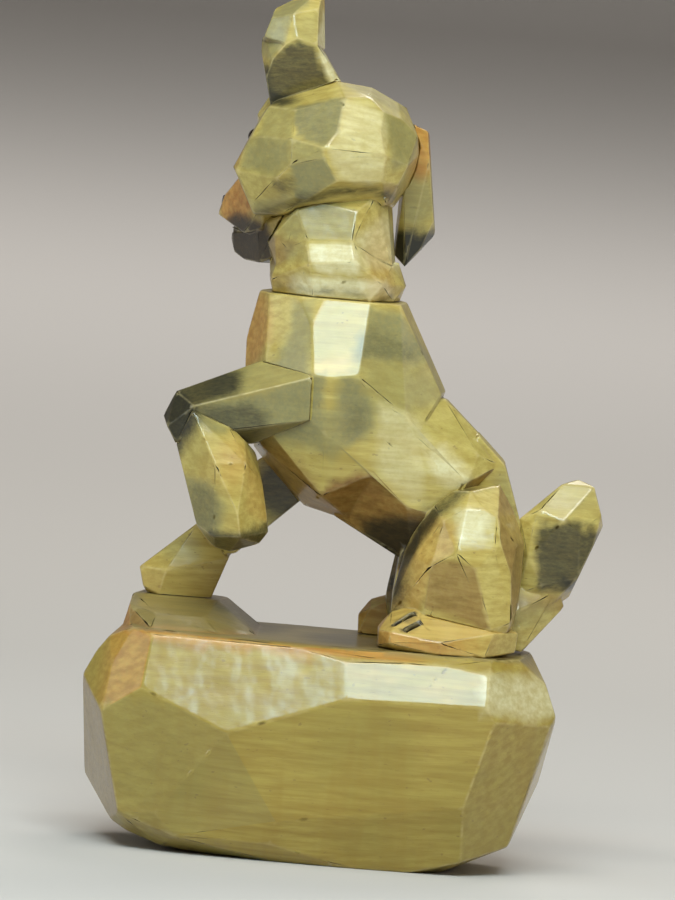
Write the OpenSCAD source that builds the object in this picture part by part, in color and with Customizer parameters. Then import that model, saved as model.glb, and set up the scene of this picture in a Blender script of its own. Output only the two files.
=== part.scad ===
// Carved wooden puppy on a rock plinth, with one forepaw raised.
// Every carved piece is a blank left with flat knife cuts: each blank is the hull of
// its facet corners, so the corner lists are the design. Pieces meet on glue faces and
// are held by round hardwood dowels in drilled bores.
// Frame: +Z up, the puppy's chest towards -X, its left side towards -Y.
// Origin: middle of the rock's flat underside. Millimetres.

/* [Rock plinth] */
// Length of the rock, along X
rock_length = 118; // [112:1:124]
// Depth of the rock, along Y
rock_depth = 78; // [72:1:84]
// Height of the rock's flat top above the table
rock_height = 55; // [48:1:62]

/* [Figure] */
// Turn of the head away from the line of the body, in degrees
head_turn = 42; // [38:1:46]
// Depth of the eye sockets
eye_socket = 1.4; // [1:0.1:2]
// Diameter of the round bead eyes
eye_bead = 4.6; // [4:0.2:5.4]

/* [Dowels] */
// Dowel through the neck
neck_dowel_d = 10; // [8:0.5:12]
// Dowels between the haunches and the body
haunch_dowel_d = 8; // [6:0.5:9]
// Dowels between the seat and the rock
seat_dowel_d = 8; // [6:0.5:9]
// Dowel at the raised shoulder and at the planted shoulder
shoulder_dowel_d = 6; // [5:0.5:7]
// Pegs at the knee, the paws and the ears
small_peg_d = 4; // [3:0.5:5]
// Dowel at the root of the tail
tail_dowel_d = 5; // [4:0.5:6]

/* [Hidden] */
$fn = 48;

kx = rock_length/118;
ky = rock_depth/78;
kz = rock_height/55;
lift = rock_height - 55;          // the figure rides up or down with the rock's top

lime   = [0.80, 0.70, 0.42];
shade  = [0.62, 0.50, 0.28];
dark   = [0.16, 0.13, 0.09];
beech  = [0.74, 0.56, 0.38];

// ---- helpers -------------------------------------------------------------
// A knife-cut blank: the hull of its facet corners.
module blank(corners) {
    n = len(corners);
    hull() polyhedron(points = corners, faces = [for (i = [0:n-3]) [i, i+1, i+2]]);
}
// A round dowel from point a to point b.
module rod(a, b, d, sides = 48) {
    v = b - a;
    l = norm(v);
    translate(a) rotate([0, acos(v.z/l), atan2(v.y, v.x)]) cylinder(h = l, d = d, $fn = sides);
}
// The corner at x, z that lies on the same flat cut as corners a, b and c.
function on(a, b, c, x, z) = let (
    p = [b.x-a.x, b.z-a.z, b.y-a.y], q = [c.x-a.x, c.z-a.z, c.y-a.y],
    det = p[0]*q[1] - p[1]*q[0],
    u = (p[2]*q[1] - q[2]*p[1])/det, v = (p[0]*q[2] - q[0]*p[2])/det)
    [x, a.y + (x-a.x)*u + (z-a.z)*v, z];
function rock_pt(p) = [p.x*kx, p.y*ky, p.z*kz];
function mirror_y(list) = [for (p = list) [p.x, -p.y, p.z]];

// ---- the rock ------------------------------------------------------------
// Front: two pale cuts lean back along the top, the big cuts below lean under.
r1 = [3,-39.5,42.6];  r2 = [38,-37,43.4];  r3 = [-26,-40,32];  r5 = [-46.5,-29,54];
r4 = on(r1, r3, r5, -48, 40.8);
r6 = on(r1, r3, r5, 2, 51.8);       r6b = on(r1, r3, r5, -10, 54);
r7 = on(r1, r2, r6, 37.5, 51.4);    r8 = on(r1, r2, r6, 27, 52.8);   r9 = on(r1, r2, r6, 17, 53.3);
r10 = [55.5,-19,41];
r11 = on(r2, r7, r10, 52, 49.3);    r12 = on(r2, r7, r10, 46, 53.4);  r13 = on(r2, r7, r10, 54, 39);
r14 = on(r1, r2, r3, 40, 39.8);     r15 = on(r1, r2, r3, 34, 17.7);   r16 = on(r1, r2, r3, -12, 10.8);
r17 = on(r14, r13, r15, 46, 7.4);   r18 = on(r14, r13, r15, 35, 3.9);
r19 = on(r16, r15, r18, 5, 1.8);    r20 = on(r16, r15, r18, -5, 2.4); r21 = on(r16, r15, r18, -13, 4.6);
r22 = [-42,-33,10];                 r23 = on(r3, r16, r22, -37, 5);
r24 = on(r3, r4, r22, -57.5, 34);   r25 = on(r3, r4, r22, -56, 27);   r26 = on(r3, r4, r22, -51, 9);
r27 = on(r5, r4, r24, -51.5, 54.8); r28 = on(r5, r4, r24, -56, 45.5);
r29 = [-63,-16,41.5];
r30 = on(r24, r28, r29, -60, 48);   r31 = on(r24, r28, r29, -57, 52);
rock_front = [r1, r2, r3, r4, r5, r6, r6b, r7, r8, r9, r10, r11, r12, r13, r14, r15, r16, r17, r18,
    r19, r20, r21, r22, r23, r24, r25, r26, r27, r28, r29, r30, r31,
    [-61,2,15.5], [-53,-20,6.4], [-49,-21,4.2], [-40,-24,1.6]];
rock_foot = [
    [-38,-10,0], [-30,-22,0], [-12,-28,0], [8,-28.5,0], [22,-27,0], [30,-18,0],
    [32,6,0], [24,24,0], [-6,28,0], [-30,25,0], [-40,8,0]];
rock_top = [
    [-52,-19,55], [-48,-26,55], [-40,-28,55], [-5,-30.5,55], [15,-31.5,55], [38,-29.5,55], [45,-22,55],
    [48,6,55], [42,22,55], [20,28,55], [-12,29,55], [-38,27,55], [-52,14,55]];
rock_back = [
    [-61,10,43], [-58,18,31], [-52,28,47], [-46,33,30], [-36,32,49], [-20,38,41],
    [-14,39,24], [6,38.5,36], [20,34,50], [33,36,38], [47,27,48], [53,14,42],
    [53,10,22], [48,20,12], [34,33,18], [14,37,9], [-18,36,8], [-40,30,11], [-56,16,10],
    [-50,2,4], [46,4,7]];
// Rise on the left that the forepaw stands on.
rock_step = [
    [-52.5,-16,55], [-47,-24,55], [-30,-25,55], [-21,-18,55], [-20,16,55], [-28,26,55],
    [-46,25,55], [-54,10,55], [-53,-10,59.5], [-46,-17,59], [-34,-17,58.5],
    [-52.5,3,61.5], [-46,2,61.5], [-31,2,61.5], [-29,16,61.5], [-36,21,61.5],
    [-50,18,61.5], [-25,4,58]];
module rock_form() {
    blank([for (p = concat(rock_front, rock_foot, rock_top, rock_back)) rock_pt(p)]);
    blank([for (p = concat(rock_step, [[-55,-10,50], [-50,-22,50], [-26,-24,50], [-50,20,50], [-24,22,50]])) rock_pt(p)]);
}
module base_rock() color(lime) difference() {
    rock_form();
    translate([0,0,lift]) { seat_dowels_form(); forepaw_peg_form(); hind_paw_pegs_form(); }
}

// ---- the body ------------------------------------------------------------
// Left shoulder: one long cut below the collar, two behind it, a ridge running down to the flank.
t1 = [-11,-16.5,140];  t2 = [0,-16.3,140];  t3 = [-13,-23,121];
t4 = on(t1, t2, t3, -14, 133);   t5 = on(t1, t2, t3, 0, 134.5);   t6 = on(t1, t2, t3, -2.5, 128);
t7 = on(t1, t2, t3, -1.2, 121.8);
t8 = [16,-11.5,126.3];           t9 = on(t5, t6, t8, 7.5, 140);
q1 = [4,-21.8,115.6];            q3 = [14.4,-18.6,108.2];         q4 = [4.8,-19.3,97.8];
q2 = on(q1, q3, q4, 11.5, 113.2);  u3 = on(t6, t8, q1, 20.5, 118.5);
chest = [
    // rim under the neck, left side
    [-27,-4,140], [-25,-10,140], [-18,-15,140], t1, t2, t9, [9.5,-2,140],
    // front of the chest
    [-30,-2,128], [-30,-3,121], [-28,-3,111], [-25,-5,101], [-22,-13,134], [-25,-14,128], [-25,-14,121],
    // shoulder and ribs, left side
    t3, t4, t5, t6, t7, t8, q1, q2, q3, u3,
    [-8,-23.5,121.3], [-12,-23,110], [-24,-18,108], [-8,-22.9,106.5], [3,-21.6,108.5],
    [-24,-13,102.5], [-15,-16,97.5], [-7.8,-17,91.2], [-1,-19,96.8], q4,
    // keel
    [-20,-3,95], [-12,-5,87.5], [-7,-5,86.5], [1,-8,85], [-12,4,87], [-7,5,86],
    // back
    [16.5,0,127], [20.8,0,118.5], [9.5,2,140], [-27,4,140]];
chest_right = [
    [-25,10,140], [-18,15,140], [-9,17,140], [1,15.5,140], [7,9,140],
    [-29,6,127], [-28,9,118], [-24,15,130], [-21,19,119], [-22,15,106],
    [-12,21,131], [2,19,130], [13,12,129], [-8,23.5,119], [6,21.5,117], [17,13,120],
    [-13,22,108], [0,22.5,106], [-18,15,99], [-6,18,94], [5,18,96], [-16,8,92], [2,8,85]];
loin = [
    // left side
    [3,-18,114], [12,-17.5,113.5], q3, [21,-17.5,104], [5,-20.4,108], [16,-19.5,99],
    q4, [8,-19,94.5], [14,-18,90], [19,-17.5,89], [24,-17.5,95], [28,-17,97], [30,-14,104],
    [21,-11,117.5], [30,-7,110], [36,-8,102], [37,-3,102],
    // right side
    [3,20,115], [13,18,114.5], [15,19,107], [22,17,103], [4,21,107], [16,19.5,98],
    [6,19,95], [14,18,89], [20,17,90], [28,16,98], [31,13,105],
    [22,8,117], [30,5,110], [36,7,102], [37,3,102],
    // underside
    [-4,-8,86], [7,-8,80.5], [12,-9,77.5], [16,-10,76], [-4,8,85.5], [7,8,80], [12,9,77], [16,10,76]];
rump = [
    [30,-10,109], [30,10,109], [37,-9,102], [37,9,102], [40,-9,95], [40,9,95], [42,-8,88], [42,8,88],
    [43,-8,76], [43,8,76], [43,-9,60], [43,9,60], [38,-12,55], [38,12,55], [18,-12,55], [18,12,55],
    [12,-11,66], [12,11,66], [13,-11,78], [13,11,78], [20,-12,92], [20,12,92]];

module rump_form() blank(rump);
module body_form() { blank(concat(chest, chest_right)); blank(loin); rump_form(); }
module torso() color(lime) translate([0,0,lift]) difference() {
    body_form();
    neck_dowel_form(); haunch_dowels_form(); seat_dowels_form();
    shoulder_dowels_form(); tail_dowel_form();
}

// ---- the neck ------------------------------------------------------------
// Left side: one broad cut, then a pale one that runs out to the lip of the collar.
k4 = [-5.5,-17,154.6];  k5 = [-16.5,-15.5,154];  k3 = [-5,-14.6,162.4];
k2 = on(k3, k4, k5, -14.4, 163.6);  k1 = on(k3, k4, k5, -20, 161);
k9 = [-4.5,-18.6,149.8];            k10 = on(k4, k5, k9, -15.5, 148.4);
neck_low = [k9, k10, [-5.5,-16.9,154.3], [-16.5,-15.4,153.7],
    [-24,-7,140], [-14,-15,140], [0,-14,140], [6,-7,140], [7.5,0,140], [-24.5,5,140], [-12,15,140], [1,13.5,140], [6,7,140],
    [-25,-8,143], [-15,-16.4,144.6], [-4,-17.4,146.2], [3,-14.5,144.5], [8.7,-4,144], [8.7,5,144], [3,14.5,145], [-6,17,146], [-17,14,146], [-25.5,5,143],
    [-24,-9,148], [5,-7,149], [6.5,0,149], [5,8,149], [-5,16,149.5], [-17,14,149.5], [-25.5,4,148]];
neck_high = [k1, k2, k3, k4, k5,
    [-24,-9,147], [-14,-15,148.5], [-4,-15,148.5], [5,-7,148], [6,0,148], [5,7,148], [-5,15.5,148.5], [-17,13,148.5], [-25,4,148],
    [-26.5,-4,152], [-22,-12.5,151.5], [-25,-9,154.5], [4.5,-5,152],
    [-9,-10.5,166.8], [-1,-11.5,165.6], [3,-6,163.5], [4,2,161],
    [-26,6,153], [-20,13,157], [-8,15.5,160], [2,10,160], [-16,10,166], [-4,12,166], [3,5,166], [-20,0,166]];
module neck_form() { blank(neck_low); blank(neck_high); }
module neck() color(lime) translate([0,0,lift]) difference() {
    neck_form();
    neck_dowel_form();
}

// ---- the head ------------------------------------------------------------
// Back of the skull: five broad cuts fan out round the crown, small ones run under them.
h1 = [-10.5,-14,190.2];  h4 = [-1,-17,182.6];  h5 = [-11.5,-20.5,181.6];
h2 = on(h1, h4, h5, -4.5, 190.6);   h3 = on(h1, h4, h5, -0.5, 187.4);
h9 = [-22.5,-13,186.5];             h6 = on(h1, h5, h9, -14.4, 177.6);
h11 = [-22.5,-19.6,172.8];  h12 = [-22.8,-18.8,178.9];  h15 = [-35.6,-6,169.2];
h13 = on(h12, h15, h11, -30, 178.9);  h14 = on(h12, h15, h11, -33, 177.5);
h16 = on(h12, h15, h11, -25.5, 168.7);  h17 = on(h9, h12, h13, -29, 185.9);
h10 = [-14.4,-22.6,174.9];  h21 = [-10.6,-20.3,169.4];
h20 = on(h10, h11, h21, -18, 164);  h19 = on(h10, h11, h21, -21, 164.4);
h23 = on(h6, h5, h4, 0.7, 176.8);   h24 = [0.7,-17.3,170.4];  h26 = [6.5,-12,174.7];
h27 = on(h4, h23, h26, 8.3, 182);   h28 = on(h4, h23, h26, 4.2, 185.6);
skull = [h1, h2, h3, h4, h5, h6, h9, h10, h11, h12, h13, h14, h15, h16, h17, h19, h20, h21, h23, h24,
    h26, h27, h28, [4.8,-13,169.6], [-36,-4,170], [-31,-6,159], [-31,-8,162], [9.5,-2,177],
    [-13,-3,194], [-4,-1,193], [3,-1,190], [4,-6,164.5],
    // underside
    [-12,-14,166], [-4,-14,166.5], [2,-9,164], [-24,-9,159.5], [-28,2,158], [-16,12,160], [4,6,163],
    // far side: brow, cheek and right temple
    [-34,4,177], [-31,2,184.5], [-22,2,192], [-24,11,188], [-14,8,193], [-3,9,192], [5,8,188],
    [9,8,180], [8,9,170], [-16,19,186], [-4,19,185], [3,16,181], [-6,22,174], [-14,23,176],
    [-23,17,180], [-30,10,178], [2,17,170], [-8,19,165], [-20,16,166], [-33,3,168]];
// The face is drawn in the head's own frame: +X out of the nose, +Y to the puppy's left.
module turned() translate([-9,0,0]) rotate([0,0,42-head_turn]) translate([9,0,0]) children();
module face_frame() translate([-13.5,0,176]) rotate([0,0,138]) children();
// Both sides of the face: each corner is given once, for the left.
function both(list) = [for (p = list, s = [-1, 1]) [p.x, s*p.y, p.z]];
muzzle = both([
    [8,13,-1], [8,12.5,-14], [13,5,3], [14,10,-3], [22,9,-9.5], [18,9.5,-16.5], [18,9,-22.4], [25,7,-20.8],
    [24,4.5,-7.5], [28,6,-14.2], [30.5,5,-18.8], [29.5,3,-12.8], [31.4,3.5,-18.6], [12,9,-21]]);
jaw = both([
    [6,9,-17], [5,7,-26], [13,7.5,-29.5], [20.5,5.5,-29.3], [25,4,-27.8], [27.5,3,-24.5], [26,4.5,-21.6], [14,8,-21]]);
brow = both([
    [10,12,2], [14.5,11,6.5], [17.5,8.5,7.5], [18.5,3.5,10], [13,7,15], [19.6,5.5,4.8], [12,9,-2]]);
module eyes_form() face_frame() for (s = [-1, 1])
    translate([18.4 + 1.5 - eye_socket, s*6.4, 1.6]) sphere(d = eye_bead);
module nose_form() face_frame() blank(both([
    [28.5,2.6,-13.2], [30,3.4,-13.6], [31.8,2.8,-14.2], [32.8,2,-16], [32.2,1.3,-18.2], [30.4,3.2,-17.4], [29,1,-18.6]]));
module head_form() {
    blank(skull);
    face_frame() { blank(muzzle); blank(jaw); blank(brow); }
}
module head() color(lime) translate([0,0,lift]) difference() {
    turned() head_form();
    blank(neck_high);
    neck_dowel_form();
    turned() {
        nose_form(); eyes_form(); ear_pegs_form();
        // mouth: a V cut between the lip and the jaw
        face_frame() blank([[21,-13,-22.3], [21,13,-22.3], [36,-13,-20.6], [36,13,-20.6], [36,-13,-24], [36,13,-24]]);
    }
}
module nose() color(dark) translate([0,0,lift]) turned() nose_form();
module eyes() color(dark) translate([0,0,lift]) turned() eyes_form();

// One undercut facet fills the ear's back below the fold; a thin rim runs up its edge.
e1 = [-23.5,-8,203.8];  e3 = [-12.6,-3.2,191.8];  e5 = [-28.6,-4.2,186.2];
e2 = on(e1, e3, e5, -18.5, 202.3);  e4 = on(e1, e3, e5, -22, 187);   e6 = on(e1, e3, e5, -26.3, 202);
e7 = on(e1, e3, e5, -29.5, 198);    e8 = on(e1, e3, e5, -30.6, 193);
ear_root = [e1, e2, e3, e4, e5, e6, e7, e8,
    [-32.6,0,199.5], [-32,1,203], [-16.5,0,201], [-14.4,-0.5,197], [-11.2,-1.5,193.4],
    [-30,4,190], [-31,5,199], [-31,5.5,202.5], [-17,5,201], [-14.8,4,196.5], [-12.5,4,191], [-21,4,185]];
ear_blade = [e1, e2, e6, [-32.2,1,202], [-31.3,-3.5,203], [-30.4,-3,208], [-29.5,1.5,210.3],
    [-24,2,213.8], [-18,3,217], [-17,2,210], [-16.6,0.5,200.5], [-25.3,-6,209.6], [-18.8,-4.4,211.5],
    [-17.6,-4.2,203.5], [-31,5,202], [-29,6,207.5], [-20,6.5,212.5], [-17,5,201], [-18,1,214]];
module raised_ear_form() { blank(ear_root); blank(ear_blade); }
module raised_ear() color(lime) translate([0,0,lift]) turned() difference() {
    raised_ear_form();
    head_form();
    // hollow of the ear, on its front
    blank([[-27,3.2,194], [-28,4,203], [-25.5,4.5,208], [-20.5,4.4,208], [-19,3.5,201], [-18,3,193],
           [-29.5,14,190], [-31,14,206], [-24,14,214], [-16.5,14,212], [-14,14,192]]);
    ear_pegs_form();
}
ear_flap = [
    [7,3,184], [10.5,4,183], [11.5,11,182], [6,12,184], [12.3,4,176], [13.2,13,172], [13,7,169], [14.2,9,160.5], [14.6,14,157],
    [12,10,152.5], [8,8.5,148.6], [8.5,13,148.4], [5.5,10,151], [4.8,12,153], [6,10,158], [6.2,14,162], [6,5,170], [7,14,174], [12.5,15.5,153], [8,16,160]];
module hanging_ear_form() blank(ear_flap);
module hanging_ear() color(dark) translate([0,0,lift]) turned() difference() {
    hanging_ear_form();
    head_form();
    ear_pegs_form();
}

// ---- the forelegs --------------------------------------------------------
forearm = [
    [-41,-22.5,110.8], [-26,-23.8,115.7], [-12.5,-23.9,121], [-46,-17,114], [-33,-15,120], [-20,-15,124.5],
    [-25,-22.5,107.2], [-31,-21,105], [-12,-23.4,109.8], [-26,-16,102], [-45,-9,112], [-33,-7,118], [-32,-8,104],
    [-22,-6,103], [-20,-6,121], [-48.5,-15,107.5], [-47.5,-19,105], [-45,-20.5,101.5], [-42,-21.5,103.5], [-44,-11,101.5], [-47,-10,106]];
lower_paw = [
    [-41,-24,110], [-35,-29,97], [-28,-29.5,85.5], [-45,-20,101], [-43,-20,97.5], [-39,-20,85], [-38,-21.5,81.5],
    [-36,-20,79.5], [-27,-28,80], [-33,-25.5,79], [-32,-22.5,106.5], [-28,-21,103.5], [-25,-19.5,99], [-22,-20,93],
    [-20.8,-20.5,86.5], [-20.5,-20.5,81], [-22,-21,78], [-29,-20.5,75.3], [-33,-20,76.2], [-26,-27,88], [-27,-26.5,98],
    [-44,-13,101], [-38.5,-11,86], [-35,-12,78], [-29,-13,76], [-22,-14,80], [-21.5,-13,88], [-25,-11,100], [-32,-12,106], [-41,-14,108.5]];
module forearm_form() blank(forearm);
module lower_paw_form() blank(lower_paw);
module raised_forearm() color(shade) translate([0,0,lift]) difference() {
    forearm_form(); body_form(); shoulder_dowels_form(); knee_peg_form();
}
module raised_paw() color(lime) translate([0,0,lift]) difference() {
    lower_paw_form(); forearm_form(); knee_peg_form();
}
planted_upper = [
    [-8,5,93], [-10,14,92], [-17,4,101], [-18,13,100], [-13,3,88], [-13,15,87], [-24,2.5,98], [-23,14,96],
    [-28,3,73.5], [-28,17,72.5], [-38,5,80.5], [-37.5,15,80], [-33,2,78], [-34,18.5,77], [-36,6,72], [-36,14,72]];
planted_paw = [
    [-51.5,6,68], [-51,14.5,67.5], [-50.5,5,63], [-50,16,62.5], [-45,2.5,67.8], [-45,18.5,67.3], [-46,3,61.5], [-46,18,61.5],
    [-38,5.5,80], [-38,14.5,79.5], [-33,5,61.5], [-33,16,61.5], [-29.5,3,72], [-29.5,17,71.5], [-45,7,74.5], [-45,13.5,74],
    [-36,2.5,70.3], [-36,18.5,70], [-49,7,61.5], [-49,14,61.5], [-29,7,73], [-29,14,73]];
module planted_form() { blank(planted_upper); blank(planted_paw); }
module planted_foreleg() color(lime) translate([0,0,lift]) difference() {
    planted_form(); body_form(); shoulder_dowels_form(); forepaw_peg_form();
}

// ---- the hind legs -------------------------------------------------------
// A four-cornered cut low on the thigh, a long pale one behind it, a flat on top.
z1 = [21,-26,76.8];  z2 = [32,-28.6,76.8];  z3 = [37,-26.5,61.8];
z4 = on(z1, z2, z3, 20.5, 68);   z5 = on(z1, z2, z3, 25.5, 78.2);
z6 = [38.4,-26,83.5];            z7 = on(z2, z3, z6, 42, 64);   z8 = on(z2, z3, z6, 41, 76);
w1 = [27,-28.9,80.5];  w2 = [36.5,-27.5,82];  w3 = [33,-24.5,92];
w4 = on(w1, w2, w3, 28.5, 91.5);  w5 = on(w1, w2, w3, 36.5, 90);
haunch = [z1, z2, z3, z4, z5, z6, z7, z8, w1, w2, w3, w4, w5,
    [29,-21,95.5], [36,-14,97.5], [41,-12,91.5], [23,-24,88], [19,-21.5,82], [17,-21,78],
    [14,-17,74], [12,-16,68], [12,-16,63], [18,-12,94], [36,-11,97], [42,-20,83],
    [43.5,-12,83], [44,-12,70], [42,-12,57], [14,-12,57], [12,-12,66], [14,-11,78], [26,-11,96], [43.5,-18,71], [40,-22,58], [20,-22,58]];
hind_paw = [
    [12,-18.5,64], [12.3,-29,59.8], [25,-31.5,58.3], [38,-27,61], [44,-20,61.5], [20,-19,67], [37,-23,62.3],
    [12.3,-29.5,56.8], [12.5,-17,55], [25,-31,55], [14,-27,55], [36,-28,55], [44,-20,56.5], [41,-13,55], [42,-13,62], [20,-13,66], [12,-14,62], [9,-17,60], [9.5,-24,59.5], [9.5,-23,55.5], [9.5,-17,55]];
module left_haunch_form() blank(haunch);
module right_haunch_form() blank([for (p = mirror_y(haunch)) [p.x - (p.z < 80 ? 1.5 : 0), p.y*(p.y > 14 ? 1.02 : 1), p.z]]);
module left_paw_form() blank(hind_paw);
module right_paw_form() translate([-5,0,0]) blank(mirror_y(hind_paw));
// Two short knife grooves across each hind paw mark the toes.
module toe_cuts() {
    rod([13,-26.1,61.3], [17.5,-23,64.1], 1.3, 6);
    rod([16,-28.2,60.4], [19.5,-25.7,62.3], 1.3, 6);
}
module left_haunch() color(lime) translate([0,0,lift]) difference() {
    left_haunch_form(); body_form(); left_paw_form(); haunch_dowels_form(); below_rock_top();
}
module right_haunch() color(lime) translate([0,0,lift]) difference() {
    right_haunch_form(); body_form(); right_paw_form(); haunch_dowels_form(); below_rock_top();
}
module below_rock_top() translate([-100,-100,-45]) cube([200,200,100]);
module left_hind_paw() color(shade) translate([0,0,lift]) difference() {
    left_paw_form(); body_form(); hind_paw_pegs_form(); toe_cuts();
}
module right_hind_paw() color(shade) translate([0,0,lift]) difference() {
    right_paw_form(); body_form(); hind_paw_pegs_form(); translate([-5,0,0]) mirror([0,1,0]) toe_cuts();
}

// ---- the tail ------------------------------------------------------------
tail_root = [
    [38,-11,60], [38,-11,64.5], [44,-11,66], [50,-7.5,66.5], [55,-3,68], [50,-6,61.5], [45,-9,58.6], [37,-10,56.5], [46,-8,55.6], [46,6,55.6],
    [37,10,56.5], [40,10,65], [48,8,66], [52,5,66], [48,7,60], [50,0,60.5], [42,-8,72], [43,8,71], [53,-6,72], [53,6,72]];
tail_blade = [
    [42,-6,89], [43,-7,70], [45,-9.5,80], [56,-1,99.7], [52,-4.5,98.3], [60,-4,98.3], [47,-8,91.5], [45.5,-8.8,87.5], [53,-9.6,89.5],
    [57.5,-9,87.3], [62,-6,91.5], [63.5,0,88.5], [61,-7,84], [58,-7.5,75.5], [49,-9,73], [56,0,70], [50,-5,66], [42,6,88], [43,7,70],
    [46,9,86], [52,4.5,97.5], [60,4,97.3], [47,7.5,90], [62,6,90], [56,9.5,88], [61,7,82], [58,7,74], [48,9,74], [51,4,66]];
module tail_form() { blank(tail_root); blank(tail_blade); }
module tail() color(shade) translate([0,0,lift]) difference() {
    tail_form(); rump_form(); left_haunch_form(); right_haunch_form(); tail_dowel_form();
}

// ---- dowels and pegs, each in a bore of its own size ----------------------
module neck_dowel_form() rod([-9,0,122], [-9,0,180], neck_dowel_d);
module ear_pegs_form() {
    rod([-21,-1,180], [-21.5,-0.5,195], small_peg_d);
    rod([0,8,174], [10,9.5,174], small_peg_d);
}
module shoulder_dowels_form() {
    rod([-20,-6,113], [-20,-21,113], shoulder_dowel_d);
    rod([-12,11,100], [-27,11,85], shoulder_dowel_d);
}
module knee_peg_form() rod([-38,-13,108], [-37,-24,100], small_peg_d);
module forepaw_peg_form() rod([-41,10.5,54], [-41,10.5,69], small_peg_d);
module haunch_dowels_form() for (s = [-1, 1]) {
    rod([28,s*5,84], [28,s*20,84], haunch_dowel_d);
    rod([32,s*5,68], [32,s*19,68], haunch_dowel_d);
}
module hind_paw_pegs_form() {
    rod([19,-20,47], [19,-20,61], small_peg_d);
    rod([14,20,47], [14,20,61], small_peg_d);
}
module seat_dowels_form() for (x = [20, 38])
    rod([x,0,40], [x,0,x < 30 ? 72 : 61], seat_dowel_d);
module tail_dowel_form() rod([36,0,78], [54,0,78], tail_dowel_d);

module neck_dowel()      color(beech) translate([0,0,lift]) neck_dowel_form();
module ear_pegs()        color(beech) translate([0,0,lift]) turned() ear_pegs_form();
module shoulder_dowels() color(beech) translate([0,0,lift]) shoulder_dowels_form();
module knee_peg()        color(beech) translate([0,0,lift]) knee_peg_form();
module forepaw_peg()     color(beech) translate([0,0,lift]) forepaw_peg_form();
module haunch_dowels()   color(beech) translate([0,0,lift]) haunch_dowels_form();
module hind_paw_pegs()   color(beech) translate([0,0,lift]) hind_paw_pegs_form();
module seat_dowels()     color(beech) translate([0,0,lift]) seat_dowels_form();
module tail_dowel()      color(beech) translate([0,0,lift]) tail_dowel_form();

base_rock();
torso();
neck();
head();
nose();
eyes();
raised_ear();
hanging_ear();
raised_forearm();
raised_paw();
planted_foreleg();
left_haunch();
right_haunch();
left_hind_paw();
right_hind_paw();
tail();
neck_dowel();
ear_pegs();
shoulder_dowels();
knee_peg();
forepaw_peg();
haunch_dowels();
hind_paw_pegs();
seat_dowels();
tail_dowel();
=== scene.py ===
import math

import bmesh
import bpy
import numpy as np
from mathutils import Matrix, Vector, noise
from mathutils.bvhtree import BVHTree
from mathutils.geometry import delaunay_2d_cdt


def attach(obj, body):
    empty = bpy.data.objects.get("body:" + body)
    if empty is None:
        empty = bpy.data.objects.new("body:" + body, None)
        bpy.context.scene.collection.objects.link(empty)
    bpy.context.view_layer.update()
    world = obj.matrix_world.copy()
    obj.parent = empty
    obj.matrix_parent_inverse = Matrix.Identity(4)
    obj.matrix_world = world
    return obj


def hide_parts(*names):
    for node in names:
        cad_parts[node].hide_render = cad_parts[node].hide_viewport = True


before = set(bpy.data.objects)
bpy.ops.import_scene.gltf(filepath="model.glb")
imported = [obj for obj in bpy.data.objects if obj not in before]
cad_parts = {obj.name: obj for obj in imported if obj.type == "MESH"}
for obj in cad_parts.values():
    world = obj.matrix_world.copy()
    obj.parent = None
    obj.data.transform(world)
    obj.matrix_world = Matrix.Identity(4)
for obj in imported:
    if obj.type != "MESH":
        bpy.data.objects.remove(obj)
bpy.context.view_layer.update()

MM = 1000.0
DOWELS = ["neck_dowel", "ear_pegs", "shoulder_dowels", "knee_peg", "forepaw_peg",
          "haunch_dowels", "hind_paw_pegs", "seat_dowels", "tail_dowel"]
# node: (merge angle in degrees, grid in mm, ridge round in mm, undulation in mm)
CARVED = {
    "base_rock": (5.0, 3.0, 0.60, 0.06),
    "torso": (9.0, 2.2, 0.55, 0.10),
    "neck": (9.0, 1.8, 0.50, 0.07),
    "head": (8.0, 1.8, 0.50, 0.07),
    "raised_ear": (14.0, 1.5, 0.40, 0.05),
    "hanging_ear": (14.0, 1.4, 0.40, 0.05),
    "raised_forearm": (12.0, 1.7, 0.45, 0.06),
    "raised_paw": (12.0, 1.7, 0.45, 0.06),
    "planted_foreleg": (12.0, 1.8, 0.45, 0.07),
    "left_haunch": (8.0, 1.9, 0.55, 0.08),
    "right_haunch": (10.0, 1.9, 0.55, 0.08),
    "left_hind_paw": (8.0, 1.6, 0.40, 0.05),
    "right_hind_paw": (8.0, 1.6, 0.40, 0.05),
    "tail": (12.0, 1.7, 0.50, 0.08),
    "nose": (6.0, 0.9, 0.30, 0.02),
}


# ---------------------------------------------------------------- camera ----
def aim_camera():
    elevation, roll = math.radians(3.5), math.radians(5.0)
    target = Vector((-0.00466, 0.0, 0.1017))
    distance = 3.2
    back = Vector((0.0, -math.cos(elevation), math.sin(elevation)))
    side = Vector((1.0, 0.0, 0.0))
    up = back.cross(side)
    right = math.cos(roll) * side + math.sin(roll) * up
    top = -math.sin(roll) * side + math.cos(roll) * up
    data = bpy.data.cameras.new("camera")
    data.lens = 36.0 * distance / 0.225
    data.clip_end = 20.0
    cam = bpy.data.objects.new("camera", data)
    bpy.context.scene.collection.objects.link(cam)
    m = cam.matrix_world.copy()
    for i in range(3):
        m[i][0], m[i][1], m[i][2] = right[i], top[i], back[i]
    place = target + back * distance
    m[0][3], m[1][3], m[2][3] = place
    cam.matrix_world = m
    bpy.context.scene.camera = cam


aim_camera()


# ------------------------------------------------------------ small maths ---
def smooth(a, b, x):
    t = min(1.0, max(0.0, (x - a) / (b - a)))
    return t * t * (3.0 - 2.0 * t)


def blob(p, c, r, soft=0.35):
    d = math.sqrt(sum(((p[i] - c[i]) / r[i]) ** 2 for i in range(3)))
    return 1.0 - smooth(1.0 - soft, 1.0 + soft, d)


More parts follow.
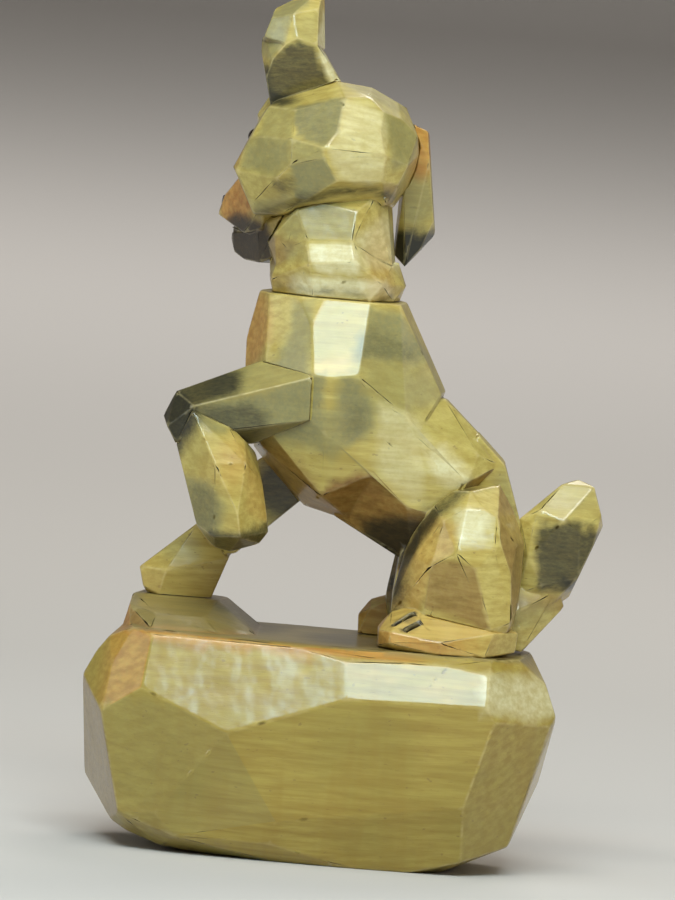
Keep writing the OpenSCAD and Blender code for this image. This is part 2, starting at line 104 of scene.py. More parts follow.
def seg(p, a, b):
    """Distance from p to the segment a-b, and how far along it is."""
    ab = [b[i] - a[i] for i in range(3)]
    ap = [p[i] - a[i] for i in range(3)]
    t = sum(ab[i] * ap[i] for i in range(3)) / sum(k * k for k in ab)
    t = min(1.0, max(0.0, t))
    return math.sqrt(sum((ap[i] - t * ab[i]) ** 2 for i in range(3))), t


def trail(p, line, r0, r1, soft=1.2):
    """1 on a polyline of round brush strokes whose radius grows from r0 to r1."""
    best, n = 0.0, len(line) - 1
    for i in range(n):
        d, t = seg(p, line[i], line[i + 1])
        r = r0 + (r1 - r0) * (i + t) / n
        best = max(best, 1.0 - smooth(r - soft, r + soft, d))
    return best


def wob(p, size, seed=0.0):
    return noise.noise(Vector((p[0] / size + seed, p[1] / size - seed, p[2] / size + 3.1 * seed)))


# ------------------------------------------------- airbrushed paint, painted shade and painted highlights ---
def flip(c):
    return (c[0], -c[1], c[2])


CREASE = [(37, -15, 100), (30, -18, 97.0), (24, -20, 92.5), (18, -19, 86), (13.5, -17, 79), (11, -15, 70)]
CREASE_R = [flip(c) for c in CREASE]
NECK_LINE = [(-29, -6, 157.5), (-24, -12, 160), (-20, -14.5, 163), (-12, -17, 167), (-1, -15, 167.5), (4, -8, 166)]
COLLAR = [(-25, -9, 141), (-15, -15.5, 141.3), (-4, -16, 141.5), (6, -9, 141.3)]
TOES = {
    "left_hind_paw": [((13.0, -26.1, 61.3), (17.5, -23.0, 64.1)), ((16.0, -28.2, 60.4), (19.5, -25.7, 62.3))],
}


# Patches of airbrushed paint, painted shade, painted reflection and painted highlight: outline in mm seen square on
# from the left side (along +Y, 3.5 degrees down), then the channel, its strength and how softly it fades. The pale
# patches are painted highlights, the dark warm patches are painted shade, and the grey-green patches are partly painted
# shade and reflection.
PATCHES = {
    "head": [
        ([(-22.6, 187.8), (-10.5, 191.3), (-11.4, 182.3), (-14.4, 178.2), (-20, 179.6), (-22.7, 184)], "haze", 0.92, 0.5),
        ([(-30, 187.5), (-22.7, 187.8), (-22.7, 179.8), (-31, 180)], "haze", 0.62, 0.8),
        ([(-22.6, 179.8), (-14.6, 178), (-14.6, 175.2), (-22.5, 173.4)], "haze", 0.70, 0.6),
        ([(-33.5, 178.8), (-30, 180), (-22.7, 179.5), (-22.6, 173.5), (-26, 170), (-35, 171.5)], "haze", 0.85, 1.3),
        ([(-22.4, 173.2), (-14.5, 175.5), (-10.8, 170.2), (-18, 164.6), (-21, 165.2), (-21.6, 170)], "haze", 0.98, 0.5),
        ([(-26.5, 168.6), (-21.5, 171.4), (-21.0, 166.4), (-26, 166)], "black", 0.55, 1.0),
        ([(-31, 163), (-22, 166), (-21, 164), (-31, 158.5)], "haze", 0.65, 1.2),
        ([(-0.4, 188.4), (4.2, 187), (8.6, 183.6), (7, 176), (2.6, 174), (1.2, 183)], "haze", 0.72, 1.0),
        ([(0.6, 170.2), (5.3, 170.8), (6, 165), (2.4, 164)], "brown", 0.45, 0.5),
        ([(-13, 195), (-4, 195), (5, 190), (3, 188.5), (-5, 192)], "haze", 0.50, 0.8),
        ([(-22.6, 187.8), (-10.5, 191.3), (-11.4, 182.3), (-14.4, 178.2), (-20, 179.6), (-22.7, 184)], "black", 0.15, 0.6),
        ([(-10.5, 191), (-11.2, 182.5), (-13.6, 178.2), (-10.4, 170.8), (-2, 169.8), (0.6, 172), (1.0, 183), (-0.6, 188.2)], "pale", 0.40, 0.9),
        ([(-9.6, 190.3), (-9.8, 184), (-3.5, 182.5), (-1.4, 187.6), (-5, 190.6)], "pale", 0.22, 1.5),
    ],
    "torso": [
        ([(-19.5, 138.5), (-13, 140.5), (-13.8, 133.5), (-13.2, 122), (-24, 119), (-21, 127), (-18.6, 131.5)], "haze", 0.75, 0.8),
        ([(0.1, 139.8), (8.2, 138.8), (17.5, 127), (-2.2, 126.6), (-2.5, 128.6), (0.1, 135)], "haze", 0.97, 1.0),
        ([(0.6, 135), (12, 131), (13, 127), (-1.5, 127)], "black", 0.30, 1.6),
        ([(-2, 126.8), (17.5, 127), (21.5, 119), (12, 114.5), (4.5, 116.6), (-0.5, 122)], "haze", 0.50, 1.2),
        ([(-13.5, 121.6), (-9.4, 121.8), (-8.6, 112), (-9.6, 104.5), (-26, 107), (-26, 111)], "haze", 0.95, 1.0),
        ([(-14, 109), (-9, 109), (-9.5, 103), (-24, 103.5), (-26, 107.5)], "haze", 0.60, 1.8),
        ([(-5.5, 121.8), (-1, 121.6), (4, 115.2), (3, 107.5), (-2.8, 104.5), (-6, 112)], "haze", 0.95, 1.3),
        ([(-2, 116), (2, 114), (1.5, 108), (-3, 107)], "black", 0.25, 2.0),
        ([(-28, 105), (-16, 101.5), (-9.5, 96), (-8, 91), (-16, 97), (-28, 101)], "brown", 0.30, 0.9),
        ([(-9.6, 113), (-5.8, 113), (-2.5, 105), (-6, 101), (-10, 103)], "haze", 0.70, 0.8),
        ([(17.9, 105.5), (20.8, 107), (28.3, 101.4), (29.2, 96.4), (21.5, 98.3), (17.5, 101)], "pale", 0.75, 1.6),
        ([(4.5, 116), (12, 114.5), (18, 108), (17, 92), (9, 95.5), (5.5, 100)], "pale", 0.38, 1.5),
        ([(-8, 91.5), (-6, 95), (-1, 97.4), (4.8, 98.6), (8, 94.6), (16, 89.4), (21, 88.4), (13, 74), (-2, 80)], "brown", 0.92, 0.5),
        ([(3, 86.5), (11, 88.6), (17, 88.4), (21, 88), (16, 74), (3, 78)], "black", 0.90, 1.8),
        ([(34, 100), (38, 104), (43, 90), (40, 90)], "haze", 0.55, 1.5),
    ],
    "neck": [
        ([(-21, 163), (-14.4, 164.9), (-5.1, 163.5), (-5.6, 155.9), (-16.5, 155.2), (-24.6, 155.4)], "haze", 0.66, 0.7),
        ([(-22, 163), (-14, 164.9), (-9, 164), (-14, 161), (-20, 160)], "black", 0.20, 1.2),
        ([(-28, 154), (-24.6, 155.6), (-19, 154.4), (-22, 148.6), (-27, 147)], "brown", 0.62, 0.8),
        ([(-23, 154.8), (-17, 154.6), (-16, 150), (-21, 149)], "haze", 0.50, 1.2),
        ([(-27, 146), (-19, 146.3), (-18.5, 141), (-27, 140)], "brown", 0.40, 1.4),
        ([(-15.6, 153.8), (-5.4, 155.2), (-2.5, 150.6), (-3.5, 147.6), (-13, 147.2), (-16, 150.5)], "pale", 0.75, 0.9),
        ([(-5.2, 156.5), (2, 163), (7, 158), (7, 150), (-2.5, 149)], "pale", 0.45, 1.4),
        ([(-20, 145.6), (4, 146.4), (6, 141.3), (-20, 141)], "pale", 0.85, 1.0),
    ],
    "raised_forearm": [
        ([(-50, 118), (-36, 122), (-30, 121), (-30, 115.5), (-41, 110.5), (-50, 98)], "black", 0.88, 1.8),
        ([(-38, 123), (-12, 125), (-12, 121), (-26, 115.8), (-38, 112)], "haze", 0.66, 1.2),
        ([(-41, 110.9), (-26, 115.7), (-12, 121.4), (-11.5, 109.6), (-24, 101), (-33, 103)], "haze", 0.97, 0.4),
        ([(-41, 110.6), (-27, 113.4), (-22, 110), (-26, 101), (-35, 103)], "black", 0.62, 1.8),
    ],
    "raised_paw": [
        ([(-43, 94), (-36, 92.5), (-31, 87), (-33, 77), (-41, 78), (-44, 92)], "haze", 0.88, 1.5),
        ([(-40, 92), (-33.5, 92), (-32, 82), (-39, 80)], "black", 0.30, 1.5),
        ([(-35, 80.8), (-28, 80.6), (-20, 84.5), (-19, 74), (-36, 73)], "black", 0.80, 0.7),
        ([(-48, 112), (-41.6, 111), (-41.6, 103), (-43, 99), (-50, 97)], "black", 0.86, 1.6),
        ([(-42, 111), (-32, 106.4), (-33, 104.5), (-41, 107)], "haze", 0.8, 0.8),
        ([(-27, 100), (-20, 92), (-19, 83), (-26, 86)], "amber", 0.30, 1.2),
    ],
    "left_haunch": [
        ([(13, 78), (19, 90), (27, 88), (26, 80.5), (20.8, 77), (20.2, 68.4), (16, 60), (11, 66)], "amber", 0.40, 0.8),
        ([(20.6, 77.2), (25.5, 78.8), (32, 77.1), (37.2, 61.6), (20.2, 66)], "brown", 0.66, 0.4),
        ([(25.5, 90.8), (29, 92.3), (33.8, 91), (33, 84), (27, 83.5)], "pale", 0.70, 0.9),
        ([(38.6, 84), (45, 85), (47, 77), (46, 66), (42.4, 66), (41, 76.4)], "brown", 0.66, 0.5),
    ],
}
PATCHES["raised_ear"] = [
    ([(-23.5, 204.4), (-18.7, 202.9), (-17.5, 199.5), (-14.9, 195.2), (-12.4, 192.4), (-21, 189), (-27, 186.5),
      (-31, 185), (-32, 192), (-29.8, 198.5), (-26.5, 202.4)], "black", 0.78, 0.5),
    ([(-32, 193.5), (-24, 191.5), (-20.0, 190.5), (-22, 184), (-32, 184)], "black", 0.96, 1.1),
    ([(-31.5, 198.5), (-28, 196), (-28, 190), (-32, 190)], "black", 0.90, 1.0),
    ([(-33, 205), (-31, 210), (-27, 214), (-21, 218), (-21.5, 214), (-25.5, 210), (-26.5, 204), (-29.5, 199), (-34, 200)],
     "haze", 0.85, 0.9),
    ([(-25.5, 210), (-24, 204.6), (-18.6, 203.4), (-18.2, 212)], "haze", 0.28, 0.9),
    ([(-17, 219), (-18.4, 205), (-17.2, 199.5), (-14.8, 195.2), (-11.8, 192.8), (-10, 193.5), (-13.4, 197.5), (-15.4, 201), (-15.4, 219)],
     "pale", 0.80, 0.4),
    ([(-30.5, 204), (-28.5, 209), (-26.6, 206), (-27.5, 201.5)], "pale", 0.55, 0.9),
]
PATCHES["base_rock"] = [
    ([(36, 51), (50, 52), (58, 44), (50, 40), (37, 42)], "pale", 0.60, 1.5),
]
PATCHES["right_haunch"] = PATCHES["left_haunch"]


def patch(x, z, poly, soft):
    """1 inside the outline, 0 outside, fading over the soft width."""
    d2, odd, n = 1e9, False, len(poly)
    for i in range(n):
        ax, az = poly[i]
        bx, bz = poly[(i + 1) % n]
        ex, ez = bx - ax, bz - az
        t = ((x - ax) * ex + (z - az) * ez) / (ex * ex + ez * ez)
        t = 0.0 if t < 0.0 else 1.0 if t > 1.0 else t
        qx, qz = x - ax - t * ex, z - az - t * ez
        d2 = min(d2, qx * qx + qz * qz)
        if (az > z) != (bz > z) and x < ax + (z - az) / (bz - az) * ex:
            odd = not odd
    d = math.sqrt(d2)
    return smooth(-soft, soft, d if odd else -d)


def paint(node, p, n):
    """Black, amber, haze, brown and pale, 0 to 1, at point p (mm) on a cut that faces n; brown is painted shade, haze
    is partly painted shade and reflection, pale is painted highlight.
    """
    k = (p[0] + 0.9 * wob(p, 4.0, 1.3), p[1] + 0.9 * wob(p, 4.0, 2.7), p[2] + 1.1 * wob(p, 4.0, 4.9))
    near = p[1] < 0
    black = amber = haze = brown = pale = 0.0
    x, y, z = k
    m = k if near else (k[0], -k[1], k[2])      # the far side is shaded like the near one
    if node in ("torso", "left_haunch", "right_haunch"):
        c = trail(m, CREASE, 1.3, 4.6, 1.7)
        if node != "torso":
            c *= 1.0 - smooth(27.0, 31.0, x) if z < 90 else 0.8
        black = max(black, 0.93 * c)
    if node == "torso":
        amber = max(amber, 0.75 * blob(m, (-29, -6, 130), (7.5, 8.5, 9.5), 0.3))
        black = max(black, 0.55 * trail(m, COLLAR, 0.8, 0.8, 0.9))
        # downward cuts low on the torso get a dark warm tint: painted shade on the underside
        if n[2] < -0.30 and z < 106:
            brown = max(brown, 0.75 * smooth(0.30, 0.5, -n[2]))
    if node == "neck":
        black = max(black, 0.85 * trail(m, NECK_LINE, 1.2, 1.2, 1.3))
        black = max(black, 0.6 * trail(m, COLLAR, 0.7, 0.7, 0.9))
        amber = max(amber, 0.30 * blob(m, (3, -13, 150), (5, 6, 12), 0.5))
        # a dark blob at the throat under the jaw: painted shadow
        black = max(black, 0.6 * blob(k, (-26, 2, 155), (5, 9, 5), 0.4))
    if node == "head":
        black = max(black, 0.9 * trail(k, NECK_LINE, 1.6, 1.0, 1.6))
        # under the jaw: painted shadow, black with a warm reflection tint
        black = max(black, 0.88 * blob(k, (-30.5, 12, 151), (9.5, 16, 8.0), 0.16))
        brown = max(brown, blob(k, (-30.5, 12, 151), (9.5, 16, 8.0), 0.16))
        black = max(black, 0.90 * blob(k, (-25, -3, 187.2), (6.5, 6, 1.8), 0.4))
        amber = max(amber, 0.95 * blob(k, (-35.5, 9, 162), (6.0, 11, 8.5), 0.25))
        amber = max(amber, 0.45 * blob(k, (-36, -2, 176), (2.5, 6, 8), 0.4))
        amber = max(amber, 0.25 * blob(k, (9, 0, 172), (4, 8, 8), 0.4))
        haze = max(haze, 0.45 * blob(k, (-14, 16, 184), (12, 8, 8), 0.5))
    if node == "raised_ear":
        # the hollow's darkening is painted shade in the recess
        if p[1] > 1.6:          # inside the hollow, darker towards the root
            black = max(black, 0.78 * (1.0 - smooth(193.0, 208.0, z)))
            amber = max(amber, 0.30)
        amber = max(amber, 0.30 * blob(k, (-32, 0, 200.5), (2.5, 5, 4.5), 0.4))
    if node == "hanging_ear":
        black = max(black, 0.985 * (1.0 - smooth(156.4, 159.6, z + 0.8 * wob(p, 2.2, 7.0))))
        amber = max(amber, 0.85 * blob(k, (9.5, 6, 179), (3.6, 8, 8.5), 0.3))
        haze = max(haze, 0.70 * blob(k, (9.5, 9, 165.5), (5, 8, 7), 0.4))
    if node in ("raised_forearm", "raised_paw"):
        black = max(black, 0.96 * blob(k, (-45.5, -15, 108), (7.0, 16, 8.5), 0.28))
    # downward cuts of the forearm get a dark warm tint: painted shade on the underside
    if node == "raised_forearm" and n[2] < -0.5:
        brown = max(brown, 0.6)
    if node == "raised_paw":
        # darker towards the bottom of the paw on the far side and on cuts facing down: painted shade on its underside
        if not near or n[2] < -0.6:
            black = max(black, 0.6 * (1.0 - smooth(77.8, 81.5, z)))
        amber = max(amber, 0.32 * blob(k, (-30, -27, 99), (5, 7, 7), 0.5))
    if node == "planted_foreleg":
        black = max(black, 0.85 * blob(k, (-17.5, 4, 90.5), (7.5, 10, 7.5), 0.35))
        amber = max(amber, 0.25 * (1.0 - smooth(64.0, 72.0, z)))
        haze = max(haze, 0.45 * blob(k, (-42, 6, 74), (6, 8, 3.5), 0.5))
    if node in ("left_haunch", "right_haunch"):
        # rear-facing cuts of the haunch get a dark warm tint: painted shade
        if n[0] > 0.75:
            brown = max(brown, 0.60)
        black = max(black, 0.55 * blob(m, (13, -14, 71), (4.5, 9, 12), 0.5))
        haze = max(haze, 0.25 * blob(m, (23, -25, 90), (4, 6, 6), 0.5))
    if node in ("left_hind_paw", "right_hind_paw"):
        if abs(n[2]) < 0.75:
            amber = max(amber, 0.75 * (1.0 - smooth(20.0, 46.0, x)))
        else:
            amber = max(amber, 0.35)
        for a, b in TOES["left_hind_paw"]:
            dx = 0.0 if node == "left_hind_paw" else -5.0
            q = (p[0] - dx, -abs(p[1]), p[2])
            d, t = seg(q, a, b)
            black = max(black, 1.0 - smooth(0.75, 1.15, d))
    if node == "tail":
        edge = 89.0 + 1.9 * wob(p, 2.6, 3.0) - 0.09 * (x - 54) ** 2 * 0.2
        low = (1.0 - smooth(edge - 1.6, edge + 1.6, z)) * smooth(70.0, 73.0, z)
        black = max(black, 0.84 * low * smooth(45.8, 48.2, x + 0.10 * (z - 80)))
        black = max(black, 0.97 * blob(k, (55, 0, 74.0), (8.5, 12, 2.2), 0.4))
        # greyer towards the top of the tail: painted reflection
        haze = max(haze, 0.35 * smooth(88.0, 96.0, z))
        brown = max(brown, 0.5 * (1.0 - smooth(69.0, 72.0, z)) * smooth(65.5, 67.5, z))
        haze = max(haze, 0.45 * blob(k, (43, -8, 66), (9, 8, 4), 0.4))
    if node == "base_rock":
        # amber along the left of the top rim; the amber on left-facing cuts and the dark warm tint on the low left cuts
        # are painted warm bounce light and shade
        rim = smooth(52.3, 53.4, p[2]) * (1.0 - smooth(0.93, 0.99, n[2]))
        if p[2] > 55.4:
            rim = 0.0
        amber = max(amber, 0.80 * rim * (1.0 - smooth(14, 26, x)))
        if n[0] < -0.45 and n[2] > 0.1 and z > 36:
            amber = max(amber, 0.55 * smooth(-60.0, -55.0, x))
        if p[2] > 55.4 and n[0] < -0.6:
            amber = max(amber, 0.85)
        if n[0] < -0.7 and n[2] < 0.05 and z < 42:
            brown = max(brown, 0.55)
        # the top of the rock under the dog: greyed, darker warm and two dark blobs, painted shadow
        if p[2] > 54.5 and n[2] > 0.3:
            haze = max(haze, 0.55)
            brown = max(brown, 0.40 + 0.25 * blob(k, (-6, 0, 55), (20, 30, 6), 0.4))
            black = max(black, 0.62 * blob(k, (4, -6, 55), (13, 20, 6), 0.45))
            black = max(black, 0.50 * blob(k, (-22, 8, 57), (9, 20, 6), 0.5))
        # cuts facing down and left low on the rock: painted shade
        haze = max(haze, 0.28 * (1.0 if (n[0] < -0.05 and n[2] < -0.02 and z < 38) else 0.0))
    if node in PATCHES and (p[1] < (1.6 if node == "raised_ear" else 0.0) or node in ("torso", "right_haunch", "left_haunch")):
        ax, ay = p[0] + 0.35 * wob(p, 2.5, 5.1), -abs(p[1])
        az = p[2] + 1.8 + 0.061 * ay + 0.35 * wob(p, 2.5, 8.3)
        if node == "right_haunch":
            ax += 1.5 if p[2] < 80 else 0.0
        got = {"black": black, "amber": amber, "haze": haze, "brown": brown, "pale": pale}
        for poly, channel, strength, soft in PATCHES[node]:
            v = strength * patch(ax, az, poly, soft)
            old = got[channel]
            got[channel] = old + v - old * v if channel == "haze" else max(old, v)
        black, amber, haze, brown, pale = got["black"], got["amber"], got["haze"], got["brown"], got["pale"]
    return (min(1.0, black), min(1.0, amber), min(1.0, haze), min(1.0, brown), min(1.0, pale))


# ------------------------------------------------------- carved surfaces ----
def tree_of(names):
    verts, tris = [], []
    for name in names:
        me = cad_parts[name].data
        me.calc_loop_triangles()
        base = len(verts)
        verts += [v.co * MM for v in me.vertices]
        tris += [tuple(base + i for i in t.vertices) for t in me.loop_triangles]
    return BVHTree.FromPolygons(verts, tris)


dowel_tree = tree_of(DOWELS)


def merged_facets(node, angle):
    """The node's mesh in mm, with the triangles of one knife cut joined into one polygon."""
    bm = bmesh.new()
    bm.from_mesh(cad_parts[node].data)
    for v in bm.verts:
        v.co *= MM
    bmesh.ops.remove_doubles(bm, verts=bm.verts, dist=0.02)
    bmesh.ops.dissolve_degenerate(bm, edges=bm.edges, dist=0.02)
    others = tree_of([n for n in CARVED if n != node and n != "nose"] + ["nose", "eyes"] if node != "nose" else [n for n in CARVED if n != "nose"])
    hidden = {}
    bm.faces.ensure_lookup_table()
    for f in bm.faces:
        c = f.calc_center_median()
        touch = 0
        pts = [c] + [c.lerp(v.co, 0.8) for v in f.verts[:3]]
        for q in pts:
            d1 = dowel_tree.find_nearest(q, 0.5)[3]
            d2 = others.find_nearest(q, 0.5)[3]
            if (d1 is not None and d1 < 0.09) or (d2 is not None and d2 < 0.02):
                touch += 1
        hidden[f.index] = touch == len(pts)
    lay = bm.faces.layers.int.new("hid")
    for f in bm.faces:
        f[lay] = 1 if hidden[f.index] else 0
    bore = {v for v in bm.verts if (dowel_tree.find_nearest(v.co, 0.5)[3] or 9.0 if dowel_tree.find_nearest(v.co, 0.5)[3] is not None else 9.0) < 0.09}
    lim = math.radians(angle)
    eligible = [e for e in bm.edges if len(e.link_faces) == 2 and e.link_faces[0][lay] == 0 and e.link_faces[1][lay] == 0
                and not (e.verts[0] in bore and e.verts[1] in bore)]
    bmesh.ops.dissolve_limit(bm, angle_limit=lim, use_dissolve_boundaries=False, verts=[], edges=eligible)
    flat = [e for e in bm.edges if len(e.link_faces) == 2 and e.link_faces[0][lay] == 1 and e.link_faces[1][lay] == 1
            and not (e.verts[0] in bore and e.verts[1] in bore)]
    bmesh.ops.dissolve_limit(bm, angle_limit=math.radians(0.5), use_dissolve_boundaries=False, verts=[], edges=flat)
    # pull each polygon's corners onto its own plane
    start = {v: v.co.copy() for v in bm.verts}
    free = [v for v in bm.verts if v not in bore and any(f[lay] == 0 for f in v.link_faces)]
    for _ in range(40):
        move = {v: [Vector(), 0.0] for v in free}
        for f in bm.faces:
            if f[lay] or len(f.verts) < 4:
                continue
            f.normal_update()
            c, n, a = f.calc_center_median(), f.normal, f.calc_area() + 0.5
            for v in f.verts:
                if v in move:
                    move[v][0] += n * (-(v.co - c).dot(n)) * a
                    move[v][1] += a
        for v, (d, a) in move.items():
            if a:
                v.co += 0.7 * d / a
                off = v.co - start[v]
                if off.length > 0.7:
                    v.co = start[v] + off * (0.7 / off.length)
                for level in (0.0, 55.0, 61.5, 140.0):
                    if abs(start[v].z - level) < 0.01:
                        v.co.z = level
    bm.normal_update()
    return bm, lay


def inside(pts, poly):
    x, y = pts[:, 0][:, None], pts[:, 1][:, None]
    x0, y0 = poly[:, 0][None], poly[:, 1][None]
    x1, y1 = np.roll(poly[:, 0], -1)[None], np.roll(poly[:, 1], -1)[None]
    cross = (y0 > y) != (y1 > y)
    with np.errstate(divide="ignore", invalid="ignore"):
        xi = (x1 - x0) * (y - y0) / (y1 - y0) + x0
    return (np.sum(cross & (x < xi), axis=1) % 2) == 1


def edge_distance(pts, poly):
    a, b = poly, np.roll(poly, -1, axis=0)
    ab = b - a
    t = ((pts[:, None] - a[None]) * ab[None]).sum(-1) / np.maximum((ab ** 2).sum(-1), 1e-12)[None]
    t = np.clip(t, 0, 1)
    near = a[None] + t[..., None] * ab[None]
    return np.sqrt(((pts[:, None] - near) ** 2).sum(-1)).min(1)


def carve(node):
    angle, grid, ridge, wave = CARVED[node]
    bm, lay = merged_facets(node, angle)
    P, kind = [], []                       # kind: 0 boundary, 1 ring, 2 interior
    vid = {}
    for v in bm.verts:
        vid[v] = len(P)
        P.append(v.co.copy())
        kind.append(0)
    along = {}
    for e in bm.edges:
        show = any(f[lay] == 0 for f in e.link_faces)
        ln = e.calc_length()
        cuts = int(math.ceil(ln / (grid * 0.62))) - 1 if show else 0
        ids = []
        for i in range(cuts):
            t = (i + 1) / (cuts + 1)
            ids.append(len(P))
            P.append(e.verts[0].co.lerp(e.verts[1].co, t))
            kind.append(0)
        along[e] = ids
    tris, tri_face, normals = [], [], []
    seed = float(sum(ord(c) for c in node) % 97)
    lift = {}
    for fi, f in enumerate(bm.faces):
        n = f.normal.copy()
        normals.append(n)
        loop = []
        for l in f.loops:
            loop.append(vid[l.vert])
            ids = along[l.edge]
            loop += ids if l.edge.verts[0] == l.vert else ids[::-1]
        c = f.calc_center_median()
        u = n.orthogonal().normalized()
        w = n.cross(u)
        poly = np.array([[(P[i] - c).dot(u), (P[i] - c).dot(w)] for i in loop])
        high = np.array([(P[i] - c).dot(n) for i in loop])
        extra, extra_kind = [], []
        if f[lay] == 0:
            a, b = poly, np.roll(poly, -1, axis=0)
            d = b - a
            ln = np.sqrt((d ** 2).sum(1))
            ok = ln > 1e-6
            inward = np.stack([-d[:, 1], d[:, 0]], 1)[ok] / ln[ok][:, None]
            ring = (a[ok] + b[ok]) / 2 + inward * ridge
            if len(ring):
                keep = inside(ring, poly) & (edge_distance(ring, poly) > ridge * 0.9)
                ring = ring[keep]
                taken = []
                for q in ring:
                    if all((q[0] - r[0]) ** 2 + (q[1] - r[1]) ** 2 > (0.35 * grid) ** 2 * 0.5 for r in taken[-40:]):
                        taken.append((float(q[0]), float(q[1])))
                extra += taken
                extra_kind += [1] * len(taken)
            lo, hi = poly.min(0), poly.max(0)
            xs = np.arange(lo[0], hi[0], grid)
            ys = np.arange(lo[1], hi[1], grid * 0.866)
            pts = np.array([[x + (0.5 * grid if j % 2 else 0.0), y] for j, y in enumerate(ys) for x in xs])
            if len(pts):
                keep = inside(pts, poly)
                pts = pts[keep]
                if len(pts):
                    dist = edge_distance(pts, poly)
                    pts, dist = pts[dist > ridge + 0.45 * grid], dist[dist > ridge + 0.45 * grid]
                    for q, dd in zip(pts, dist):
                        extra.append((float(q[0]), float(q[1])))
                        extra_kind.append(2)
                        lift[len(P) + len(extra) - 1] = float(dd)
        if f[lay] and len(loop) == 3:
            tris.append(tuple(loop))
            tri_face.append(fi)
            continue
        co = [Vector((float(q[0]), float(q[1]))) for q in poly] + [Vector(q) for q in extra]
        out = delaunay_2d_cdt(co, [], [list(range(len(loop)))], 1, 1e-7, True)
        good = all(len(o) >= 1 for o in out[3]) and len(out[0]) >= len(co) - 2
        base = len(P)
        if not good:
            # a twisted sliver: a plain fan of its own corners
            print("SLIVER", node, fi, len(loop), len(extra), len(out[0]), round(f.calc_area(), 2), f[lay])
            for i in range(1, len(loop) - 1):
                tris.append((loop[0], loop[i], loop[i + 1]))
                tri_face.append(fi)
            lift = {k: v for k, v in lift.items() if k < base}
            continue
        for q, kd in zip(extra, extra_kind):
            d2 = (poly[:, 0] - q[0]) ** 2 + (poly[:, 1] - q[1]) ** 2 + 1e-6
            wt = 1.0 / d2
            h = float((wt * high).sum() / wt.sum())
            P.append(c + u * q[0] + w * q[1] + n * h)
            kind.append(kd)
        for t in out[2]:
            ids = []
            for i in t:
                o = out[3][i][0]
                ids.append(loop[o] if o < len(loop) else base + o - len(loop))
            if len(set(ids)) == 3:
                p0, p1, p2 = (P[i] for i in ids)
                if (p1 - p0).cross(p2 - p0).dot(n) < 0:
                    ids = ids[::-1]
                tris.append(tuple(ids))
                tri_face.append(fi)
    seen, keep = set(), []
    for k, t in enumerate(tris):
        key = frozenset(t)
        if key not in seen:
            keep.append(k)
        seen.add(key)
    tris, tri_face = [tris[k] for k in keep], [tri_face[k] for k in keep]
    # knife ripple: each cut is a touch uneven, fading out at its edges
    touching = {}
    for t, fi in zip(tris, tri_face):
        for i in t:
            touching.setdefault(i, set()).add(fi)
    faces = list(bm.faces)
    shown = [f[lay] == 0 for f in faces]
    for i, dd in lift.items():
        fi = next(iter(touching.get(i, {0})))
        n = normals[fi]
        k = smooth(0.0, 4.0, dd)
        s = seed + 1.7 * fi
        ripple = 0.55 * noise.noise(Vector((P[i].x / 9 + s, P[i].y / 9, P[i].z / 9 - s)))
        stroke = 0.25 * math.sin((P[i].x * math.cos(s) + P[i].z * math.sin(s)) * 2 * math.pi / 6.5 + 3 * ripple)
        P[i] = P[i] + n * (wave * k * (2.0 * ripple + 0.6 * stroke - 0.15))
    # ridges: round each edge over by drawing it back to the ring of points beside it
    pull = {}
    for t, fi in zip(tris, tri_face):
        if not shown[fi]:
            continue
        for a in range(3):
            for b in range(3):
                if a != b and kind[t[a]] == 0 and kind[t[b]] == 1:
                    pull.setdefault(t[a], set()).add(t[b])
    moved, edge = {}, {}
    for i, ring in pull.items():
        if len(touching[i]) < 2:
            continue
        mean, out = Vector(), Vector()
        for j in ring:
            mean += P[j]
        mean /= len(ring)
        for g in touching[i]:
            out += normals[g]
        step = (P[i] - mean).dot(out.normalized()) if out.length > 1e-6 else 0.0
        edge[i] = math.copysign(smooth(0.10, 0.40, abs(step) / ridge), step)      # + on a ridge, - in a valley
        moved[i] = P[i].lerp(mean, 0.45 if step > 0.0 else 0.62)
    for i, q in moved.items():
        if abs(P[i].z) < 0.01:
            q.z = max(q.z, 0.0)
        P[i] = q
    # normals: flat across a cut, turning only at the rounded ridges
    area = {}
    for t, fi in zip(tris, tri_face):
        nn = (P[t[1]] - P[t[0]]).cross(P[t[2]] - P[t[0]])
        for i in t:
            if kind[i] == 2:
                area[i] = area.get(i, Vector()) + nn
    me = bpy.data.meshes.new("carved_" + node)
    me.from_pydata([tuple(p / MM) for p in P], [], tris)
    col = me.color_attributes.new("shade", "FLOAT_COLOR", "CORNER")
    # the edge attribute holds ridge wear, valley stain and, in blue, the painted highlight
    wear_and_highlight = me.color_attributes.new("edge", "FLOAT_COLOR", "CORNER")
    cache, split, vals, rims = {}, [], [], []
    if len(me.polygons) != len(tris):
        raise SystemExit("carve: " + node + " lost faces")
    for poly, t, fi in zip(me.polygons, tris, tri_face):
        for i in poly.vertices:
            key = (i, fi)
            if key not in cache:
                n = normals[fi]
                if kind[i] == 2:
                    nv = area[i].normalized()
                elif kind[i] == 1 or not shown[fi]:
                    nv = n
                else:
                    nv = Vector()
                    for g in touching[i]:
                        if shown[g] and normals[g].dot(n) > -0.2:
                            nv += normals[g]
                    nv = nv.normalized() if nv.length > 1e-6 else n
                cache[key] = (nv, paint(node, P[i], n) if shown[fi] else (0.0, 0.0, 0.0, 0.0, 0.0))
            nv, c = cache[key]
            split.append(nv)
            vals += c[:4]
            k = edge.get(i, 0.0)
            rims += (max(0.0, k), max(0.0, -k), c[4], 1.0)
    col.data.foreach_set("color", vals)
    wear_and_highlight.data.foreach_set("color", rims)
    for poly in me.polygons:
        poly.use_smooth = True
    me.normals_split_custom_set(split)
    ob = bpy.data.objects.new("carved_" + node, me)
    bpy.context.scene.collection.objects.link(ob)
    bm.free()
    return ob


